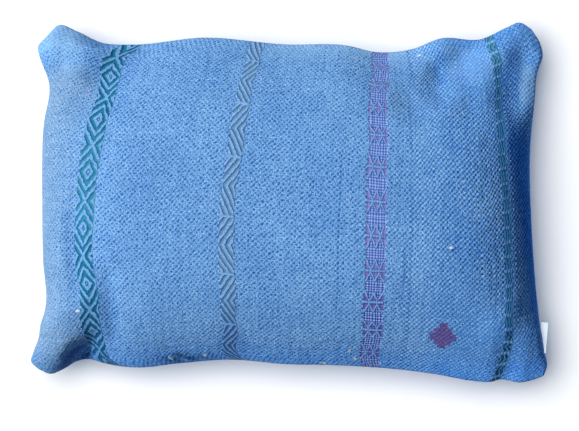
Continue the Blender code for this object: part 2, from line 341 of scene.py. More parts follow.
def back_points(across, up):
    """Points of the back, flat where the cushion's weight presses it on the surface."""
    place = seam_sheet(across, up)
    drop = BACK_DROP * swell(BACK_SIDES, across, up)
    held = drop / (drop + SEAM_HEIGHT_BAND)
    depth = fold_depth(BACK_FOLDS, place[..., 0], place[..., 1]) * held
    depth = np.minimum(depth, FOLD_LIMIT * drop)
    height = np.maximum(place[..., 2] - SEAM_HEIGHT_BAND / 2 - drop + depth, 0)
    settled = np.maximum(height * height / (height + BACK_SETTLE) - BACK_PRESS, 0)
    place[..., 2] = height + (settled - height) * np.clip(drop / BACK_SETTLE, 0, 1)
    return place


# ------------------------ how the cloth lies on the form
# Where each band's middle thread crosses the panel, as parts of the cloth's length from the
# left seam, at parts of its height from the lower seam.
HEIGHTS = [0.00, 0.05, 0.12, 0.21, 0.30, 0.40, 0.50, 0.60, 0.70, 0.78, 0.85, 0.92, 1.00]
Band = namedtuple("Band", "thread half_width path")
BANDS = {
    "teal": Band(31, 4.0, [
        0.158, 0.150, 0.136, 0.138, 0.131, 0.136, 0.144, 0.151, 0.154, 0.151, 0.148, 0.157, 0.190]),
    "grey": Band(87, 2.8, [
        0.402, 0.395, 0.395, 0.396, 0.396, 0.402, 0.408, 0.417, 0.420, 0.417, 0.416, 0.427, 0.442]),
    "purple": Band(142, 3.75, [
        0.660, 0.656, 0.656, 0.659, 0.660, 0.662, 0.664, 0.667, 0.672, 0.671, 0.669, 0.670, 0.683]),
    "green": Band(196, 1.9, [
        0.900, 0.906, 0.914, 0.919, 0.922, 0.919, 0.918, 0.913, 0.911, 0.918, 0.914, 0.897, 0.903]),
}
FORM_STEPS = 180  # grid on which the form's own lengths are measured
LAYING_ROUNDS = 5  # times that the crossings are set, each round closer to even
BACK_THREADS = 400  # the back's threads are numbered from here


def ramp(value, start, end):
    """0 at start and before, 1 at end and beyond, even between."""
    return np.clip((value - start) / (end - start), 0, 1)


def lengths_along(points, closeness, axis):
    """Running count of yarns over a grid of points along one axis, as parts of 1."""
    steps = np.linalg.norm(np.diff(points, axis=axis), axis=-1)
    steps = steps * np.delete(closeness, 0, axis=axis)
    running = np.cumsum(steps, axis=axis)
    first = np.zeros_like(np.take(running, [0], axis=axis))
    running = np.concatenate([first, running], axis=axis)
    return running / np.take(running, [-1], axis=axis)


def sample(table, row, column):
    """Reads a square table between its entries, at rows and columns given as parts of 1."""
    size = table.shape[0] - 1
    r = np.clip(row * size, 0, size - 1e-6)
    c = np.clip(column * size, 0, size - 1e-6)
    r0 = r.astype(int)
    c0 = c.astype(int)
    r -= r0
    c -= c0
    low = table[r0, c0] * (1 - c) + table[r0, c0 + 1] * c
    high = table[r0 + 1, c0] * (1 - c) + table[r0 + 1, c0 + 1] * c
    return low * (1 - r) + high * r


def band_drift(thread_part, height):
    """How far the bands pull the threads sideways from an even spacing."""
    knots = [0.0]
    drifts = [np.zeros_like(height)]
    for band in BANDS.values():
        even = band.thread / THREADS_LONG
        knots.append(even)
        drifts.append(smooth_table(height, HEIGHTS, band.path) - even)
    knots.append(1.0)
    drifts.append(np.zeros_like(height))
    drift = np.zeros_like(height)
    for here, there, first, last in zip(knots, knots[1:], drifts, drifts[1:]):
        inside = (thread_part >= here) & (thread_part <= there)
        part = (thread_part - here) / (there - here)
        drift = np.where(inside, first + (last - first) * part, drift)
    return drift


def smooth_table(value, places, entries):
    """Reads a table by a smooth curve through its entries."""
    places = np.array(places)
    entries = np.array(entries)
    slopes = np.gradient(entries, places)
    span = np.clip(np.searchsorted(places, value) - 1, 0, len(places) - 2)
    width = places[span + 1] - places[span]
    part = (value - places[span]) / width
    square = part * part
    cube = square * part
    return (
        (2 * cube - 3 * square + 1) * entries[span]
        + (cube - 2 * square + part) * slopes[span] * width
        + (3 * square - 2 * cube) * entries[span + 1]
        + (cube - square) * slopes[span + 1] * width
    )


def lay_cloth(thread, pick):
    """Parts across and up the panel at which threads cross, spaced evenly over the form."""
    ticks = np.linspace(0, 1, FORM_STEPS + 1)
    across, up = np.meshgrid(ticks, ticks)
    form = face_points(across, up)
    crown = np.exp(-((2 * across - 1) / CROWN_WIDTH) ** 2 - ((2 * up - 1) / CROWN_WIDTH) ** 2)
    closeness = 1 / (1 + CROWN_OPENING * crown)
    by_row = lengths_along(form, closeness, 1)
    by_column = lengths_along(form, closeness, 0)
    across_at = np.array([np.interp(ticks, line, ticks) for line in by_row])
    up_at = np.array([np.interp(ticks, line, ticks) for line in by_column.T])
    thread_part = thread / THREADS_LONG
    pick_part = pick / THREADS_HIGH
    up_now = pick_part
    wanted = thread_part + band_drift(thread_part, np.clip(pick_part, 0, 1))
    for _ in range(LAYING_ROUNDS):
        across_now = sample(across_at, up_now, wanted)
        up_now = sample(up_at, across_now, pick_part)
    return across_now, up_now


def drifting(count, length, rng, reach):
    """A slow random wander for each of several threads, along their length."""
    steps = rng.normal(0, 1, (count, length + 2 * reach))
    window = np.hanning(2 * reach + 1)
    window /= np.sqrt((window ** 2).sum())
    return np.array([np.convolve(row, window, mode="valid") for row in steps])


def surface_normals(points):
    """Outward directions of a grid of points."""
    along_row = np.gradient(points, axis=1)
    along_column = np.gradient(points, axis=0)
    normals = np.cross(along_row, along_column)
    return normals / np.linalg.norm(normals, axis=-1, keepdims=True)


def make_cover():
    rng = np.random.default_rng(11)
    thread, pick = np.meshgrid(np.arange(THREADS_LONG + 1.0), np.arange(THREADS_HIGH + 1.0))
    inner = np.minimum.reduce([thread, THREADS_LONG - thread, pick, THREADS_HIGH - pick])
    free = ramp(inner, 0, EDGE_FREEDOM)
    warp_wander = drifting(THREADS_LONG + 1, THREADS_HIGH + 1, rng, WANDER_REACH).T
    weft_wander = drifting(THREADS_HIGH + 1, THREADS_LONG + 1, rng, WANDER_REACH)
    across, up = lay_cloth(
        thread + WANDER * warp_wander * free,
        pick + WANDER * weft_wander * free,
    )
    face = face_points(across, up)
    normals = surface_normals(face)
    warp_fullness = rng.normal(0, FULLNESS, THREADS_LONG + 1)[None, :]
    weft_fullness = rng.normal(0, FULLNESS, THREADS_HIGH + 1)[:, None]
    loose = rng.normal(0, LOOSENESS, face.shape[:2])
    over = np.where((thread + pick) % 2 == 0, 1.0, -1.0)
    in_band = np.zeros_like(thread)
    for band in BANDS.values():
        within = band.half_width + BAND_MARGIN - abs(thread - band.thread)
        in_band = np.maximum(in_band, np.clip(within, 0, 1))
    wear_and_painted_light = 1 - FADED_FLATNESS * ramp(thread, 30, 5)
    wear_and_painted_light = wear_and_painted_light * (1 - LOWER_CALM * ramp(thread, 160, 178) * ramp(pick, 50, 24))
    wear_and_painted_light = wear_and_painted_light * (1 - UPPER_CALM * ramp(thread, 160, 176) * ramp(pick, 106, 120))
    lift = over * RELIEF / 2 * (1 + loose) * (1 - BAND_FLATNESS * in_band) * wear_and_painted_light
    lift = lift + RELIEF * THICKNESS_SHARE * (warp_fullness + weft_fullness)
    face = face + normals * (lift * free)[..., None]

    # Right of the join the yarns stand in slanting ridges, because two of them pass over one.
    mid = 0.25 * (face[:-1, :-1] + face[1:, :-1] + face[:-1, 1:] + face[1:, 1:])
    ridge = np.where((thread - pick)[:-1, :-1] % 2 == 0, 1.0, -1.0)
    twill = TWILL * ramp(thread[:-1, :-1], 146, 156)
    shy = (1 - in_band[:-1, :-1]) * free[:-1, :-1]
    mid = mid + normals[:-1, :-1] * (ridge * twill * shy * RELIEF / 2)[..., None]

    back = back_points(across, up)
    back_normals = -surface_normals(back)
    clear = ramp(back[..., 2], 0, SOLE_HEIGHT)
    back = back + back_normals * (np.minimum(lift, 0) * free * clear)[..., None]
    back[..., 2] = np.maximum(back[..., 2], 0)

    rim = rim_places(THREADS_LONG, THREADS_HIGH)
    face_rim = np.array([face[j, i] for j, i in rim])
    back_rim = np.array([back[j, i] for j, i in rim])
    seam = (face_rim + back_rim) / 2
    tangent = np.roll(seam, -1, axis=0) - np.roll(seam, 1, axis=0)
    inward = np.stack([-tangent[:, 1], tangent[:, 0], np.zeros(len(rim))], axis=1)
    inward /= np.linalg.norm(inward, axis=1, keepdims=True)
    seam = seam + inward * SEAM_TUCK
    return build_cover(face, mid, back, seam, rim)


def rim_places(columns, rows):
    """Places of the grid's rim, once round from the lower left corner, anticlockwise."""
    places = [(0, i) for i in range(columns)]
    places += [(j, columns) for j in range(rows)]
    places += [(rows, i) for i in range(columns, 0, -1)]
    places += [(j, 0) for j in range(rows, 0, -1)]
    return places


def build_cover(face, mid, back, seam, rim):
    """One closed mesh of the face's crossings and hollows, the back and the tucked seam."""
    rows, columns = face.shape[0], face.shape[1]
    index = np.arange(rows * columns).reshape(rows, columns)
    m = rows * columns + np.arange((rows - 1) * (columns - 1))
    shift = rows * columns + m.size              # from a point of the face to that of the back
    back_index = index + shift
    seam_index = back_index.max() + 1 + np.arange(len(rim))
    points = np.concatenate([face.reshape(-1, 3), mid.reshape(-1, 3), back.reshape(-1, 3), seam])

    a, b = index[:-1, :-1].ravel(), index[:-1, 1:].ravel()
    c, d = index[1:, 1:].ravel(), index[1:, :-1].ravel()
    corners_of_four = ((a, b, m), (b, c, m), (c, d, m), (d, a, m))
    triangles = np.concatenate([np.stack(three, axis=1) for three in corners_of_four])
    quads = np.stack([d, c, b, a], axis=1) + shift
    around = np.array([index[j, i] for j, i in rim])
    after = np.roll(around, -1)
    seam_after = np.roll(seam_index, -1)
    upper = np.stack([around, seam_index, seam_after, after], axis=1)
    lower = np.stack([seam_index, around + shift, after + shift, seam_after], axis=1)
    quads = np.concatenate([quads, upper, lower])

    cloth = np.zeros((len(points), 2))
    pick, thread = np.meshgrid(np.arange(rows), np.arange(columns), indexing="ij")
    cloth[index.ravel()] = np.stack([thread.ravel(), pick.ravel()], axis=1)
    cloth[m] = cloth[a] + 0.5
    cloth[back_index.ravel()] = cloth[index.ravel()] + (BACK_THREADS, 0)
    cloth[seam_index] = cloth[around]

    mesh = bpy.data.meshes.new("cover")
    corners = np.concatenate([triangles.ravel(), quads.ravel()])
    counts = np.concatenate([np.full(len(triangles), 3), np.full(len(quads), 4)])
    mesh.vertices.add(len(points))
    mesh.vertices.foreach_set("co", points.ravel().astype(np.float32))
    mesh.loops.add(len(corners))
    mesh.loops.foreach_set("vertex_index", corners.astype(np.int32))
    mesh.polygons.add(len(counts))
    starts = np.concatenate([[0], np.cumsum(counts)[:-1]])
    mesh.polygons.foreach_set("loop_start", starts.astype(np.int32))
    mesh.update(calc_edges=True)
    layer = mesh.uv_layers.new(name="cloth")
    loop_cloth = cloth[corners].copy()
    first_lower = 3 * len(triangles) + 4 * (len(quads) - len(lower))
    loop_cloth[first_lower:, 0] = (loop_cloth[first_lower:, 0] % BACK_THREADS) + BACK_THREADS
    layer.data.foreach_set("uv", loop_cloth.ravel().astype(np.float32))
    mesh.validate()
    mesh.shade_smooth()
    cover = bpy.data.objects.new("cover", mesh)
    bpy.context.scene.collection.objects.link(cover)
    return cover


# ------------------------ shader maths
class Value:
    """A number, colour or vector in a material: + - * / and the like add the nodes for them."""

    def __init__(self, shop, socket):
        self.shop = shop
        self.socket = socket

    def maths(self, operation, *others, clamp=False):
        settings = {"operation": operation, "use_clamp": clamp}
        inputs = {0: self, **dict(enumerate(others, 1))}
        return self.shop.node("ShaderNodeMath", settings, inputs)

    def __add__(self, other):
        return self.maths("ADD", other)

    __radd__ = __add__

    def __mul__(self, other):
        return self.maths("MULTIPLY", other)

    __rmul__ = __mul__

    def __sub__(self, other):
        return self.maths("SUBTRACT", other)

    def __rsub__(self, other):
        return self.shop.node("ShaderNodeMath", {"operation": "SUBTRACT"}, {0: other, 1: self})

    def __truediv__(self, other):
        return self.maths("DIVIDE", other)

    def __mod__(self, other):
        return self.maths("FLOORED_MODULO", other)

    def __abs__(self):
        return self.maths("ABSOLUTE")

    def floor(self):
        return self.maths("FLOOR")

    def cosine(self):
        return self.maths("COSINE")

    def most(self, other):
        return self.maths("MAXIMUM", other)

    def clamped(self):
        return self.maths("ADD", 0.0, clamp=True)

    def rising(self, low, high):
        """0 below low, 1 above high, smooth between."""
        settings = {"interpolation_type": "SMOOTHSTEP", "clamp": True}
        inputs = {0: self, 1: low, 2: high, 3: 0.0, 4: 1.0}
        return self.shop.node("ShaderNodeMapRange", settings, inputs)

    def falling(self, low, high):
        """1 below low, 0 above high, smooth between."""
        return 1 - self.rising(low, high)


MIX_FACTOR, MIX_FIRST, MIX_SECOND, MIX_COLOUR = 0, 6, 7, 2  # a colour Mix node's sockets


class Shop:
    """Makes the nodes of one material."""

    def __init__(self, name):
        self.material = bpy.data.materials.new(name)
        self.material.use_nodes = True
        self.tree = self.material.node_tree
        self.shader = self.tree.nodes["Principled BSDF"]

    def plug(self, target, value):
        if isinstance(value, Value):
            self.tree.links.new(value.socket, target)
        else:
            target.default_value = value

    def node(self, kind, settings=None, inputs=None, output=0):
        made = self.tree.nodes.new(kind)
        for key, value in (settings or {}).items():
            setattr(made, key, value)
        for key, value in (inputs or {}).items():
            self.plug(made.inputs[key], value)
        return Value(self, made.outputs[output])

    def mix(self, factor, first, second, blend="MIX"):
        settings = {"data_type": "RGBA", "blend_type": blend, "clamp_factor": True}
        inputs = {MIX_FACTOR: factor, MIX_FIRST: first, MIX_SECOND: second}
        return self.node("ShaderNodeMix", settings, inputs, output=MIX_COLOUR)

    def join(self, x=0.0, y=0.0, z=0.0):
        return self.node("ShaderNodeCombineXYZ", None, {0: x, 1: y, 2: z})

    def noise(self, vector, scale, detail=2.0, roughness=0.5):
        inputs = {"Vector": vector, "Scale": scale, "Detail": detail, "Roughness": roughness}
        return self.node("ShaderNodeTexNoise", None, inputs)

    def chance(self, x=0.0, y=0.0, z=0.0):
        """A fixed random number for each whole-number place."""
        settings = {"noise_dimensions": "3D"}
        return self.node("ShaderNodeTexWhiteNoise", settings, {"Vector": self.join(x, y, z)})

    def finish(self, colour, roughness, **constants):
        self.plug(self.shader.inputs["Base Color"], colour)
        self.plug(self.shader.inputs["Roughness"], roughness)
        for name, value in constants.items():
            self.shader.inputs[name.replace("_", " ")].default_value = value
        return self.material


def paint(red, green, blue):
    """A colour as a paint chart gives it, 0 to 255, for a shader."""
    channels = []
    for value in (red, green, blue):
        part = value / 255
        channels.append(part / 12.92 if part <= 0.04045 else ((part + 0.055) / 1.055) ** 2.4)
    return (*channels, 1.0)


PI = math.pi


class Cloth:
    """Where a point lies on the cloth, counted in yarns, and the pattern of the crossings there."""

    def __init__(self, shop):
        self.shop = shop
        self.place = shop.node("ShaderNodeUVMap", {"uv_map": "cloth"})
        parts = shop.tree.nodes.new("ShaderNodeSeparateXYZ")
        shop.plug(parts.inputs[0], self.place)
        self.thread = Value(shop, parts.outputs[0])
        self.pick = Value(shop, parts.outputs[1])
        self.sway = shop.noise(self.place, 0.42, 2.0) - 0.5
        wobble = shop.noise(self.place, 0.55, 2.0) - 0.5
        looseness = 1.5 - self.thread.rising(148, 160)
        self.across_twill = self.thread - self.pick + wobble * looseness
        self.along_twill = self.thread + self.pick + self.sway * looseness
        self.crossing = (self.thread * PI).cosine() * (self.pick * PI).cosine()

    @property
    def shake(self):
        """Unevenness from yarn to yarn in a brocaded pattern, in yarns."""
        return (self.shop.noise(self.place, 1.0, 1.0) - 0.5) * 1.5

    def spots(self, start, length, low, high):
        """Rounded spots at every other crossing, drawn out along the rising slant."""
        across = abs((self.across_twill + start) % 2 - 1)
        along = abs((self.along_twill + start) % 2 - 1) / length
        return (across * across + along * along).falling(low, high)

    def luck(self, start, seed):
        """A random number for each of those spots."""
        across = ((self.across_twill + start) / 2).floor()
        along = ((self.along_twill + start) / 2).floor()
        return self.shop.chance(across, along, seed)

    def near(self, patch):
        """1 in the middle of a patch, fading to 0 at its edge."""
        across = (self.thread - patch.thread) / patch.wide
        up = (self.pick - patch.pick) / patch.high
        return (across * across + up * up).falling(0.1, 1.0)

    def any_of(self, patches):
        """The strongest of several patches at each place."""
        found = self.near(patches[0]) * patches[0].strength
        for patch in patches[1:]:
            found = found.most(self.near(patch) * patch.strength)
        return found

    def within(self, band, ragged=0.9):
        """1 inside a band, whose edges are as uneven as its yarns."""
        wobble = self.shop.noise(self.shop.join(band.thread, self.pick * 0.8, 0.0), 1.0, 1.0) - 0.5
        edge = abs(self.thread - band.thread + wobble * ragged)
        return edge.falling(band.half_width - 0.15, band.half_width + 0.2)


def from_nearest(value, first, step):
    """Distance to the nearest of first, first + step and so on."""
    return abs((value - first + step / 2) % step - step / 2)


def stripes(value, first, step, half_width):
    """Lines at first, first + step and so on, each with a soft edge."""
    return from_nearest(value, first, step).falling(half_width - 0.22, half_width + 0.22)


def level(inside, outer, inner):
    """Height inside a band in place of the height around it."""
    return outer + inside * (inner - outer)


# Each patch is an oval on the face, its middle and half its size counted in yarns.
Patch = namedtuple("Patch", "thread pick wide high strength", defaults=[1.0])
PAINTED_FOLD_SHADE_PATCHES = [  # painted shade in folds: the pits there are painted deeper and the colour darker
    Patch(30, 126, 13, 14),
    Patch(24, 52, 5, 22),
    Patch(38, 30, 6, 24),
    Patch(25, 6, 13, 11),
    Patch(202, 118, 6, 17),
    Patch(170, 128, 6, 9),
]
PAINTED_LIGHT_PATCHES = [  # painted light: ears and the swell beside one, painted paler
    Patch(9, 137, 13, 10, 0.85),
    Patch(184, 130, 15, 11, 0.32),
    Patch(210, 116, 6, 10, 0.8),
]
LOWER_SEAM_SHADE_PATCHES = [  # painted shade along the lower seam
    Patch(24, 7, 11, 9, 0.8),
    Patch(88, 12, 7, 12, 0.5),
]
# Painted shade on the upper left ear.
EAR_SHADE_PATCH = Patch(18, 139, 8, 5, 0.4)
# A dark blotch by the lower seam.
DARK_BLOTCH = Patch(66, 4, 11, 4.5, 0.85)

JOIN_THREAD = 155.4
SUNK_THREADS = [(127.9, 25, 95), (152.6, 30, 60)]  # each from one pick to another

# Tints that the colour is multiplied by.
# Painted sheen on the lit left side, with faded dye there: greyer and less blue.
WEST_SHEEN_AND_FADE_TINT = (1.07, 0.85, 0.725, 1.0)
# Painted shade on the lower rim, darker and bluer.
LOWER_EDGE_SHADE_TINT = (0.78, 0.94, 1.09, 1.0)
# Painted shadow on the right flank.
FLANK_SHADOW_TINT = (0.26, 0.60, 0.92, 1.0)
# Painted shade in the tuck under the lower left ear.
TUCK_SHADE_TINT = (0.42, 0.50, 0.62, 1.0)

Fleck = namedtuple("Fleck", "thread pick wide high colour")
FLECKS = [
    Fleck(34.1, 91.0, 1.1, 1.4, (20, 70, 140)),  # a knot
    Fleck(22.3, 113.2, 0.8, 0.8, (164, 140, 198)),  # bits of other yarn spun in
    Fleck(171.0, 55.9, 0.75, 0.55, (228, 234, 244)),
    Fleck(171.6, 54.9, 0.6, 0.6, (70, 56, 70)),
    Fleck(25.5, 29.3, 1.2, 0.8, (206, 222, 242)),
    Fleck(160.3, 136.7, 1.3, 0.8, (200, 218, 240)),
    Fleck(61.0, 4.3, 0.7, 1.2, (190, 190, 150)),  # loose ends by the lower seam
    Fleck(75.7, 4.3, 1.1, 0.7, (196, 200, 170)),
    Fleck(122.5, 1.4, 1.4, 0.8, (206, 206, 176)),
    Fleck(133.9, 9.9, 0.7, 1.5, (176, 190, 200)),
    Fleck(136.3, 5.5, 0.6, 1.4, (200, 204, 180)),
    Fleck(145.8, 3.4, 1.0, 1.0, (198, 204, 190)),
]


def handwoven_cloth():
    shop = Shop("handwoven_cloth")
    cloth = Cloth(shop)
    thread, pick = cloth.thread, cloth.pick

    fibre = shop.noise(cloth.place, 1.5, 3.0, 0.7) - 0.5
    grit = shop.noise(cloth.place, 2.3, 1.0) - 0.5
    clump = shop.noise(cloth.place, 0.30, 3.0, 0.6) - 0.5
    cloud = shop.noise(cloth.place, 0.045, 3.0, 0.55) - 0.5
    warp_yarn = shop.noise(shop.join(thread * 0.9, pick * 0.10, 3.7), 1.0, 1.0) - 0.5
    weft_yarn = shop.noise(shop.join(thread * 0.10, pick * 0.9, 8.2), 1.0, 1.0) - 0.5
    either_thread = thread % BACK_THREADS         # the same on the face and on the back
    # Painted sheen on the lit left side, with faded dye. The pits there are painted fainter.
    west_sheen_and_fade = either_thread.falling(4, 40) * pick.falling(118, 130)
    east = either_thread.rising(148, 186)
    # Painted shadow on the right flank, which faces away from the key lamp.
    painted_flank_shadow = (thread + pick * 0.16).rising(209, 218) * pick.rising(12, 32) * pick.falling(90, 106)
    painted_flank_shadow = painted_flank_shadow * thread.falling(230, 240)      # on the face only
    calm_picks = pick.falling(24, 50).most(pick.rising(106, 122)).most(pick.rising(116, 132) * 0.4)
    calm = thread.rising(160, 178) * calm_picks
    beyond_join = thread.rising(150, 160)
    # Painted shade in folds.
    hollow = cloth.any_of(PAINTED_FOLD_SHADE_PATCHES)
    slant = cloth.luck(0.0, 3.0) * 1.4 + 0.45 + beyond_join * 0.35
    pit_depth = (cloth.luck(0.0, 1.0) * 0.9 + 0.5 + clump * 2.5).clamped()
    pit = cloth.spots(0.0, slant, 0.02, 0.45) * pit_depth
    bump_size = cloth.luck(1.0, 2.0) * 0.6 + 0.5
    bump = cloth.spots(1.0, beyond_join * 0.25 + 1.0, 0.05, 0.8) * bump_size
    # Painted shade: the pits of the weave are darker. Painted highlight: the tops of the yarns are
    # lighter. Both lie over the yarns' own uneven tone.
    tone = (
        fibre * 1.6 + grit * 4.2 + clump * 0.4 + cloud * 0.8 + warp_yarn * 0.4 + weft_yarn * 0.5
        - pit * (1.3 - beyond_join * 0.5 - west_sheen_and_fade * 0.7) * (1 - calm * 0.4)
        + bump * (0.15 + beyond_join * 0.6) * (1 - calm * 0.4)
        - beyond_join * 0.10 + 0.12 - hollow * (pit * 0.6 + 0.2)
    )
    # The darkest colour is also the painted shade of the pits and folds. To the right it is a purer,
    # brighter blue, as blue skylight in that shade.
    deep_yarn_and_shade = shop.mix(east, paint(38, 96, 168), paint(14, 95, 196))
    mid_yarn = shop.mix(east, paint(101, 151, 208), paint(80, 139, 207))
    light_yarn_and_highlight = shop.mix(east, paint(150, 196, 238), paint(152, 200, 244))
    colour = shop.mix(tone.rising(-1.1, 0.05), deep_yarn_and_shade, mid_yarn)
    colour = shop.mix(tone.rising(0.05, 1.1), colour, light_yarn_and_highlight)
    # Painted light: the middle of the face by the upper seam and the patches are painted paler.
    upper_middle = pick.rising(128, 140) * thread.rising(84, 100) * thread.falling(148, 162)
    wear_and_painted_light = (upper_middle * 0.7).most(cloth.any_of(PAINTED_LIGHT_PATCHES))
    colour = shop.mix(wear_and_painted_light * 0.5, colour, light_yarn_and_highlight)
    colour = shop.mix(west_sheen_and_fade, colour, WEST_SHEEN_AND_FADE_TINT, "MULTIPLY")
    # Painted shade on the lower rim.
    colour = shop.mix(pick.falling(3, 16), colour, LOWER_EDGE_SHADE_TINT, "MULTIPLY")
    colour = shop.mix(painted_flank_shadow, colour, FLANK_SHADOW_TINT, "MULTIPLY")

    # The strips of cloth meet in a dark line, and here and there a thread lies deeper.
    broken = (cloth.crossing + fibre * 2).falling(-0.7, 0.5)
    join = abs(thread - JOIN_THREAD + cloth.sway).falling(0.2, 0.8) * broken
    colour = shop.mix(join * 0.8, colour, deep_yarn_and_shade)
    for sunk, low, high in SUNK_THREADS:
        line = abs(thread - sunk + cloth.sway * 1.2).falling(0.15, 0.6)
        length = pick.rising(low, low + 8) * pick.falling(high - 8, high)
        colour = shop.mix(line * length * (broken * 0.6 + 0.3), colour, deep_yarn_and_shade)
    beside_join = abs(thread - JOIN_THREAD - 3.1).falling(1.5, 5.5)
    beside_join = beside_join * pick.rising(86, 100) * pick.falling(116, 128)
    colour = shop.mix(beside_join * 0.12, colour, deep_yarn_and_shade)

    # Painted shade along the lower seam and at the upper left ear, a dark blotch by the lower seam,
    # and painted shade in a tuck.
    lower_rim_shade = pick.falling(1.0, 9.0) * thread.rising(50, 60) * thread.falling(76, 96)
    lower_seam_shade = (lower_rim_shade * 0.6).most(cloth.any_of(LOWER_SEAM_SHADE_PATCHES))
    colour = shop.mix(lower_seam_shade * (clump * 3 + 0.6).clamped(), colour, deep_yarn_and_shade)
    colour = shop.mix(cloth.near(EAR_SHADE_PATCH) * EAR_SHADE_PATCH.strength, colour, deep_yarn_and_shade)
    dark_blotch = cloth.near(DARK_BLOTCH) * (clump * 4 + fibre * 2 + 0.6).clamped()
    colour = shop.mix(dark_blotch * DARK_BLOTCH.strength, colour, paint(22, 52, 96))
    # Painted shade in the tuck.
    tuck = abs(thread - pick - 11.5 + cloth.sway * 3).falling(1.5, 5.0) * pick.falling(8, 13)
    colour = shop.mix(tuck * 0.9, colour, TUCK_SHADE_TINT, "MULTIPLY")

    for fleck in FLECKS:
        colour = shop.mix(cloth.near(fleck), colour, paint(*fleck.colour))

    height = bump * 0.5 - pit * 0.5 + fibre + grit * 1.5
    for weave_band in (teal_band, grey_band, purple_band, green_band, woven_mark):
        colour, height = weave_band(shop, cloth, colour, height)
    inputs = {"Strength": 0.6, "Distance": 0.0006, "Height": height}
    shop.plug(shop.shader.inputs["Normal"], shop.node("ShaderNodeBump", None, inputs))
    return shop.finish(colour, 0.9, Specular_IOR_Level=0.05)


# A band repeats from its first eye or bar, every so many picks.
Repeat = namedtuple("Repeat", "first picks")
LOZENGES = Repeat(60.8, 21.1)
ARROWS = Repeat(64.9, 21.9)
CELLS = Repeat(72.9, 5.45)
PURPLE_BAR = 73.6
CROWDED_CELLS = Patch(196, 109, 30, 14, 0.45)  # where the green cells are closer


def teal_band(shop, cloth, colour, height):
    """Nested lozenges in raised ground yarn over a teal weft."""
    band = BANDS["teal"]
    aside = cloth.thread - band.thread + cloth.sway * 0.6
    from_eye = from_nearest(cloth.pick, LOZENGES.first, LOZENGES.picks)
    ring = from_eye + abs(aside) * 1.39 + cloth.sway * 0.8 + cloth.shake
    line = stripes(ring, 2.15, 4.1, 0.95).most(ring.falling(0.4, 0.9))
    # Painted shadow of each raised line on the teal beside it.
    shade = stripes(ring - aside.rising(-1, 1) * 0.9 + 0.45, 2.15, 4.1, 1.35)
    low_end = cloth.pick.falling(10, 42)
    grain = shop.noise(cloth.place, 1.6, 2.0, 0.6)
    teal = shop.mix(low_end, paint(24, 108, 142), paint(8, 80, 120))
    teal = shop.mix(grain.rising(0.5, 0.75) * 0.6, teal, paint(66, 140, 168))
    middle = cloth.pick.rising(50, 66) * cloth.pick.falling(88, 108)
    teal = shop.mix(middle * 0.4, teal, paint(64, 142, 170))
    teal_in_shadow = shop.mix(middle * 0.5, paint(8, 66, 112), paint(30, 104, 140))
    teal = shop.mix(shade * 0.75, teal, teal_in_shadow)
    raised = shop.mix(grain.rising(0.3, 0.65), paint(80, 132, 192), paint(118, 166, 216))
    raised = shop.mix(cloth.pick.falling(6, 26) * 0.5, raised, paint(56, 104, 166))
    inside = cloth.within(band, 1.7)
    lines = shop.mix(line, teal, raised)
    return shop.mix(inside, colour, lines), level(inside, height, line * 5.0 + grain - 2.5)


def grey_band(shop, cloth, colour, height):
    """Slanting stripes that meet at a bar and part again at a point."""
    band = BANDS["grey"]
    aside = cloth.thread - band.thread
    above_bar = (cloth.pick - ARROWS.first + aside * 0.12) % ARROWS.picks
    half = ARROWS.picks / 2
    from_bar = half - abs(above_bar - half)
    slant = from_bar + aside * 1.6 + cloth.sway * 0.8 + cloth.shake * 0.6
    line = stripes(slant, 1.7, 3.7, 0.86).most(from_bar.falling(0.35, 0.75))
    # Painted shadow of each raised line on the grey beside it.
    dark = stripes(slant - 0.45, 1.7, 3.7, 1.25)
    low_end = cloth.pick.falling(12, 42)
    grain = shop.noise(cloth.place, 1.6, 2.0, 0.6)
    grey = shop.mix(low_end, paint(98, 134, 168), paint(56, 92, 138))
    grey_in_shadow = shop.mix(low_end, paint(50, 92, 152), paint(34, 72, 128))
    grey = shop.mix(dark * 0.6, grey, grey_in_shadow)
    raised = shop.mix(grain.rising(0.3, 0.65), paint(92, 140, 200), paint(130, 178, 228))
    raised = shop.mix(low_end * 0.5, raised, paint(66, 118, 184))
    inside = cloth.within(band, 1.3)
    lines = shop.mix(line, grey, raised)
    return shop.mix(inside, colour, lines), level(inside, height, line * 4.0 + grain - 2.0)


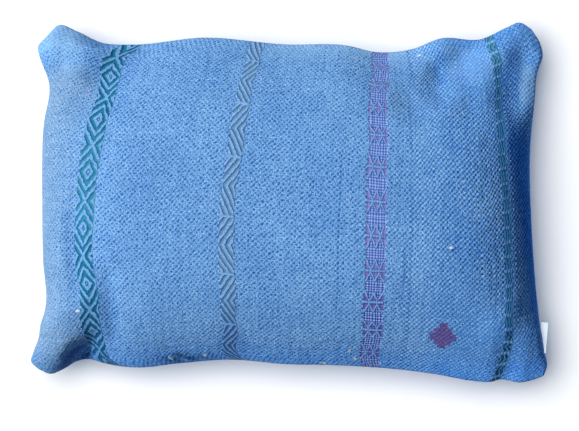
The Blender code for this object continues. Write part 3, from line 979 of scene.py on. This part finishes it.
def purple_band(shop, cloth, colour, height):
    """Bars with small triangles on either side, and dotted lozenges between them."""
    band = BANDS["purple"]
    aside = abs(cloth.thread - band.thread)
    place = (cloth.pick - PURPLE_BAR) / 66
    bars = place * (5.0 + place * (0.31 + place * 0.475))      # closer together towards the top
    from_bar = abs((bars + 0.5) % 1 - 0.5) * 13.0
    arm = abs(aside - 1.62) + cloth.sway * 0.3 - (from_bar - 0.3) / 2.3
    near_bar = from_bar.falling(4.2, 5.0)
    line = abs(arm).falling(0.18, 0.42) * near_bar
    triangle = arm.rising(0.2, 0.4) * from_bar.falling(3.0, 3.7)
    bar = from_bar.falling(0.30, 0.58)
    low_end = cloth.pick.falling(25, 60)
    grain = shop.noise(shop.join(cloth.thread * 0.6, cloth.pick * 1.6, 0.0), 1.0, 2.0, 0.6)
    dots = ((cloth.thread * 6.0).cosine() + (cloth.pick * 6.0).cosine() + cloth.sway).rising(-0.6, 0.9)
    violet = shop.mix(low_end, paint(122, 118, 187), paint(78, 68, 146))
    violet = shop.mix(grain.rising(0.4, 0.7) * 0.5, violet, paint(134, 138, 201))
    field = shop.mix(low_end, paint(70, 99, 179), paint(36, 65, 150))
    field = shop.mix(dots, field, paint(144, 173, 231))
    raised = shop.mix(grain.rising(0.3, 0.7), paint(88, 138, 202), paint(124, 170, 226))
    colours = shop.mix(triangle, field, violet)
    # Painted shadow beside the raised lines and bars.
    edge = abs(arm + 0.55).falling(0.1, 0.4) * near_bar * 0.5
    edge = edge.most((from_bar.falling(0.75, 1.1) - bar).clamped() * 0.5)
    colours = shop.mix(edge, colours, paint(40, 80, 158))
    colours = shop.mix(line.most(bar), colours, raised)
    inside = cloth.within(band, 1.4)
    relief = line.most(bar) * 4.0 + dots + grain - 2.5
    return shop.mix(inside, colour, colours), level(inside, height, relief)


def green_band(shop, cloth, colour, height):
    """Short cells of wavy green floats between bars of ground yarn."""
    band = BANDS["green"]
    aside = cloth.thread - band.thread
    hurried = cloth.near(CROWDED_CELLS) * CROWDED_CELLS.strength
    cell = (cloth.pick - CELLS.first) / CELLS.picks - hurried + cloth.sway * 0.12
    along = (cell + 0.5) % 1 - 0.5
    number = (cell + 0.5).floor()
    lean = (shop.chance(number) - 0.5) * 1.6
    bend = (along * 9).cosine() * 0.25 + cloth.sway * 0.8 + cloth.shake * 0.3
    stroke = stripes(aside + along * lean + bend, 0.1, 1.28, 0.40)
    bar = abs(along).falling(0.06, 0.15)
    upper_end = cloth.pick.rising(121, 128)
    ends = cloth.pick.falling(18, 27).most(upper_end)
    way = (number % 2) * 2 - 1
    cut = stripes(aside + way * along * 3.0 + shop.chance(number, 4.0) * 1.4, 0.7, 1.8, 0.20)
    stroke = stroke * (cloth.shake * 0.5 + 0.9).clamped()
    dark = shop.mix(stroke * (1 - ends * 0.6), paint(28, 98, 184), paint(76, 140, 168))
    end_colour = shop.mix(upper_end, paint(22, 84, 124), paint(46, 114, 148))
    dark = shop.mix(ends, dark, end_colour)
    raised = shop.mix(ends, paint(100, 150, 216), paint(108, 156, 214))
    light = bar.most(cut * ends)
    colours = shop.mix(light, dark, raised)
    inside = cloth.within(band, 1.0)
    relief = light * 2.5 + stroke * 1.5 - 1.5
    return shop.mix(inside, colour, colours), level(inside, height, relief)


MARK_THREAD, MARK_PICK = 169.3, 20.1
MARK_STEP_WIDTH, MARK_STEP_HEIGHT = 1.75, 2.1  # in yarns


def woven_mark(shop, cloth, colour, height):
    """A plain stepped lozenge brocaded in plum weft near the lower right corner."""
    aside = abs(cloth.thread + cloth.sway * 0.7 - MARK_THREAD)
    above = abs(cloth.pick + cloth.sway * 0.7 - MARK_PICK)
    mark = (above + (aside / MARK_STEP_WIDTH).floor() * MARK_STEP_HEIGHT).falling(5.7, 6.1)
    grain = shop.noise(shop.join(cloth.thread * 0.5, cloth.pick * 1.9, 0.0), 1.0, 2.0, 0.6)
    plum = shop.mix(grain.rising(0.35, 0.65), paint(73, 85, 152), paint(124, 95, 155))
    # Painted shade in the sunk crossings.
    sunk = (cloth.crossing + cloth.sway).falling(-0.6, 0.0)
    plum = shop.mix(sunk * 0.4, plum, paint(58, 66, 142))
    return shop.mix(mark, colour, plum), height + mark * (grain - 0.5) * 3


OBJECT_PLACE = 3  # output of a Texture Coordinate node


def label_ribbon():
    """Smooth white woven ribbon, left plain."""
    shop = Shop("label_ribbon")
    place = shop.node("ShaderNodeTexCoord", output=OBJECT_PLACE)
    rib = shop.noise(place, 900.0, 1.0)
    colour = shop.mix(rib.rising(0.3, 0.7), paint(206, 222, 232), paint(228, 238, 244))
    return shop.finish(colour, 0.6, Specular_IOR_Level=0.3)


# ------------------------ the label
LABEL_PLACE = (0.2813, -0.1500, 0.0487)
LABEL_SIZE = (0.0085, 0.0340, 0.0014)  # half of the width is held in the seam
LABEL_FOLD = 0.0006  # roundness of the ribbon's fold
LABEL_SLANT = math.radians(5.7)  # the seam runs outwards and downwards there
LABEL_FALL = math.radians(8.0)  # and downwards again across the ribbon's end
LABEL_RIPPLE = {-0.3: -0.0003, -0.2: -0.0004, 0.1: 0.0003, 0.2: 0.0005, 0.3: 0.0003}
SMOOTH_ANGLE = math.radians(40)


def pick_edges(piece, wanted):
    """Selects the edges whose two ends pass the test."""
    bpy.ops.mesh.select_mode(type="EDGE")
    bpy.ops.mesh.select_all(action="DESELECT")
    shape = bmesh.from_edit_mesh(piece.data)
    for edge in shape.edges:
        first, last = (vertex.co for vertex in edge.verts)
        edge.select_set(wanted(first, last))
    shape.select_flush_mode()
    bmesh.update_edit_mesh(piece.data)


def make_label():
    """A ribbon folded double, its cut ends in the right-hand seam and its fold outwards."""
    width, length, thickness = LABEL_SIZE
    bpy.ops.mesh.primitive_cube_add(size=1.0)
    label = bpy.context.active_object
    label.name = "label_ribbon"
    bpy.ops.transform.resize(value=LABEL_SIZE)
    bpy.ops.object.transform_apply(location=False, rotation=False, scale=True)
    bpy.ops.object.mode_set(mode="EDIT")

    def along_fold(a, b):
        return min(a.x, b.x) > width * 0.49 and abs(a.z - b.z) < thickness * 0.1

    def at_ripple(a, b):
        away = max(abs(a.y - part * length), abs(b.y - part * length))
        return away < 0.0002 and max(a.x, b.x) > 0

    pick_edges(label, lambda a, b: abs(a.y - b.y) > length / 2)
    bpy.ops.mesh.subdivide(number_cuts=9)
    pick_edges(label, along_fold)
    bpy.ops.mesh.bevel(offset=LABEL_FOLD, segments=3)
    for part, lift in LABEL_RIPPLE.items():
        pick_edges(label, at_ripple)
        bpy.ops.transform.translate(value=(0, 0, lift))
    bpy.ops.object.mode_set(mode="OBJECT")
    bpy.ops.transform.rotate(value=LABEL_FALL, orient_axis="X", center_override=(0, 0, 0))
    bpy.ops.transform.rotate(value=LABEL_SLANT, orient_axis="Z", center_override=(0, 0, 0))
    bpy.ops.transform.translate(value=LABEL_PLACE)
    bpy.ops.object.transform_apply(location=True, rotation=True, scale=True)
    bpy.ops.object.shade_smooth_by_angle(angle=SMOOTH_ANGLE)
    label.data.materials.append(label_ribbon())
    label.select_set(False)
    return label


# ------------------------ the pieces
cover = make_cover()
cover.data.materials.append(handwoven_cloth())
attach(cover, "root")
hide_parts("cushion")

label = make_label()
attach(label, "root")
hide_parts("label")


# ------------------------ room, lights and camera
FLOOR_SIZE = 6.0
FLOOR_TOP = -0.0005  # just below the cushion, so the two never flicker
SENSOR_WIDTH = 36.0
CAMERA_PLACE = (-0.0005, -0.0144, 3.0)
FOCUS_HEIGHT = 0.05  # the level on which the view's width is counted
VIEW_WIDTH = 0.6427
SKY_COLOUR = (0.34, 0.63, 1.0, 1.0)
SKY_STRENGTH = 0.16


def make_floor():
    bpy.ops.mesh.primitive_plane_add(size=FLOOR_SIZE, location=(0, 0, FLOOR_TOP))
    floor = bpy.context.active_object
    floor.name = "floor"
    shop = Shop("pale_floor")
    floor.data.materials.append(shop.finish((0.88, 0.88, 0.88, 1.0), 0.9))
    floor.select_set(False)
    return floor


def make_area_light(name, place, size, power, colour, things):
    light = bpy.data.lights.new(name, "AREA")
    light.size = size
    light.energy = power
    light.color = colour
    lamp = bpy.data.objects.new(name, light)
    lamp.location = place
    lamp.rotation_euler = (-Vector(place)).to_track_quat("-Z", "Y").to_euler()
    bpy.context.scene.collection.objects.link(lamp)
    lit = bpy.data.collections.new(name + " falls on")
    for thing in things:
        lit.objects.link(thing)
    lamp.light_linking.receiver_collection = lit


def make_camera():
    camera = bpy.data.cameras.new("camera")
    camera.sensor_width = SENSOR_WIDTH
    camera.lens = SENSOR_WIDTH * (CAMERA_PLACE[2] - FOCUS_HEIGHT) / VIEW_WIDTH
    stand = bpy.data.objects.new("camera", camera)
    stand.location = CAMERA_PLACE
    bpy.context.scene.collection.objects.link(stand)
    bpy.context.scene.camera = stand


floor = make_floor()
make_area_light("key", (-5.78, 1.50, 5.77), 1.0, 1060, (1.0, 0.96, 0.90), [cover])
make_area_light("soft box", (-1.2, 0.6, 3.6), 4.0, 260, (1.0, 0.98, 0.96), [floor, label])
world = bpy.data.worlds.new("studio")
world.use_nodes = True
sky = world.node_tree.nodes["Background"]
sky.inputs["Color"].default_value = SKY_COLOUR
sky.inputs["Strength"].default_value = SKY_STRENGTH
bpy.context.scene.world = world
bpy.context.scene.view_settings.view_transform = "Standard"
make_camera()
